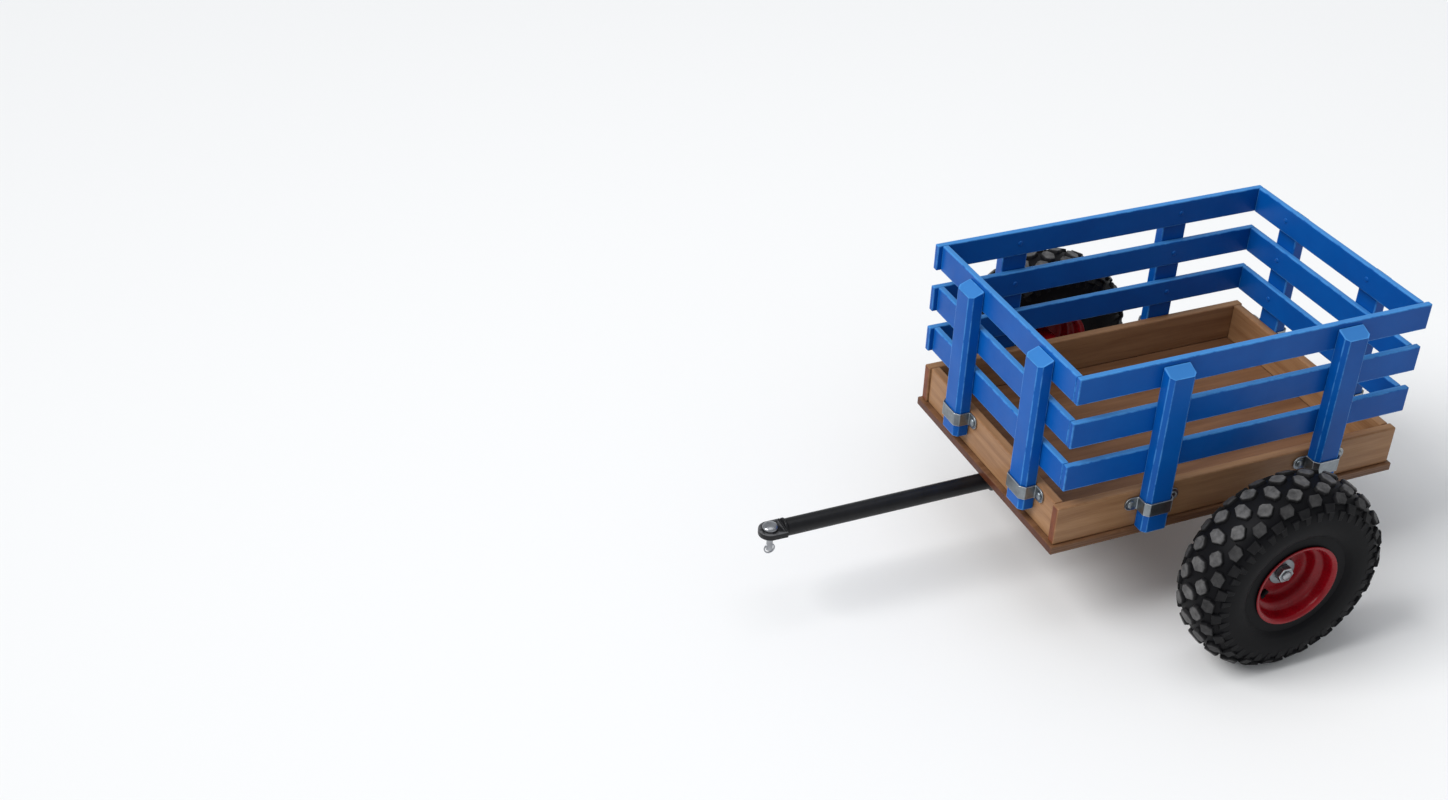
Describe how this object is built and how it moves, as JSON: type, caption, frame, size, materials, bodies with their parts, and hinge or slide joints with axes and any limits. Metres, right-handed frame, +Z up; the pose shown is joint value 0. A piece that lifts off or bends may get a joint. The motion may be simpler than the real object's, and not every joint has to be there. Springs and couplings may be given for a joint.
{
  "type": "wagon",
  "caption": "Small two-wheeled stake-side wagon with a varnished wooden box, lift-off blue slatted racks, pneumatic wheels on a fixed axle and a rigid tow bar with a pinned tongue.",
  "frame": {"origin": "on the ground, under the middle of the overall length and width", "axes": "+X forward along the tow bar, +Y to the wagon's left, +Z up"},
  "size_m": [0.8166, 0.644, 0.3813],
  "materials": {
    "varnished_wood": "clear satin varnish",
    "blue_paint": "semi-gloss paint on wood",
    "zinc_plate": "zinc plated",
    "black_paint": "satin powder coat",
    "red_paint": "gloss enamel",
    "tyre_rubber": "moulded, matt",
    "tube_rubber": "smooth, matt",
    "bare_steel": "bright drawn steel"
  },
  "bodies": {
    "cart": {"floor_panel": "varnished_wood", "left_side_board": "varnished_wood", "right_side_board": "varnished_wood", "front_end_board": "varnished_wood", "rear_end_board": "varnished_wood", "left_strap_front": "zinc_plate", "left_strap_rear": "zinc_plate", "right_strap_rear": "zinc_plate", "right_strap_front": "zinc_plate", "front_strap_right": "zinc_plate", "front_strap_left": "zinc_plate", "rear_strap_left": "zinc_plate", "rear_strap_right": "zinc_plate", "axle_rod": "bare_steel", "left_axle_saddle": "black_paint", "right_axle_saddle": "black_paint", "tow_bar": "black_paint", "rear_bar_saddle": "black_paint", "front_bar_saddle": "black_paint", "hitch_tongue": "black_paint", "left_axle_washer": "zinc_plate", "left_axle_nut": "zinc_plate", "right_axle_washer": "zinc_plate", "right_axle_nut": "zinc_plate"},
    "left_rack": {"left_rack_bottom_slat": "blue_paint", "left_rack_middle_slat": "blue_paint", "left_rack_top_slat": "blue_paint", "left_rack_front_stake": "blue_paint", "left_rack_rear_stake": "blue_paint"},
    "right_rack": {"right_rack_bottom_slat": "blue_paint", "right_rack_middle_slat": "blue_paint", "right_rack_top_slat": "blue_paint", "right_rack_rear_stake": "blue_paint", "right_rack_front_stake": "blue_paint"},
    "front_rack": {"front_rack_bottom_slat": "blue_paint", "front_rack_middle_slat": "blue_paint", "front_rack_top_slat": "blue_paint", "front_rack_right_stake": "blue_paint", "front_rack_left_stake": "blue_paint"},
    "rear_rack": {"rear_rack_bottom_slat": "blue_paint", "rear_rack_middle_slat": "blue_paint", "rear_rack_top_slat": "blue_paint", "rear_rack_left_stake": "blue_paint", "rear_rack_right_stake": "blue_paint"},
    "hitch_pin": {"hitch_pin": "bare_steel"},
    "hitch_ring": {"hitch_ring": "bare_steel"},
    "left_wheel": {"left_wheel_tyre": "tyre_rubber", "left_wheel_inner_tube": "tube_rubber", "left_wheel_rim_outer_half": "red_paint", "left_wheel_rim_inner_half": "red_paint", "left_wheel_hub": "red_paint", "left_wheel_outer_bearing": "bare_steel", "left_wheel_inner_bearing": "bare_steel"},
    "right_wheel": {"right_wheel_tyre": "tyre_rubber", "right_wheel_inner_tube": "tube_rubber", "right_wheel_rim_outer_half": "red_paint", "right_wheel_rim_inner_half": "red_paint", "right_wheel_hub": "red_paint", "right_wheel_outer_bearing": "bare_steel", "right_wheel_inner_bearing": "bare_steel"}
  },
  "joints": [
    {"name": "left_wheel_spin", "type": "hinge", "parent": "cart", "child": "left_wheel", "pos_m": [-0.1437, 0.281, 0.13], "axis": [0, 1, 0], "continuous": true},
    {"name": "right_wheel_spin", "type": "hinge", "parent": "cart", "child": "right_wheel", "pos_m": [-0.1437, -0.281, 0.13], "axis": [0, 1, 0], "continuous": true},
    {"name": "left_rack_lift", "type": "slide", "parent": "cart", "child": "left_rack", "axis": [0, 0, 1], "range_m": [0, 0.24]},
    {"name": "right_rack_lift", "type": "slide", "parent": "cart", "child": "right_rack", "axis": [0, 0, 1], "range_m": [0, 0.24]},
    {"name": "front_rack_lift", "type": "slide", "parent": "cart", "child": "front_rack", "axis": [0, 0, 1], "range_m": [0, 0.24]},
    {"name": "rear_rack_lift", "type": "slide", "parent": "cart", "child": "rear_rack", "axis": [0, 0, 1], "range_m": [0, 0.24]},
    {"name": "hitch_pin_lift", "type": "slide", "parent": "cart", "child": "hitch_pin", "axis": [0, 0, 1], "range_m": [0, 0.015]},
    {"name": "hitch_ring_swing", "type": "hinge", "parent": "hitch_pin", "child": "hitch_ring", "pos_m": [0.3933, 0, 0.105], "axis": [1, 0, 0], "range_deg": [-80, 80]}
  ]
}
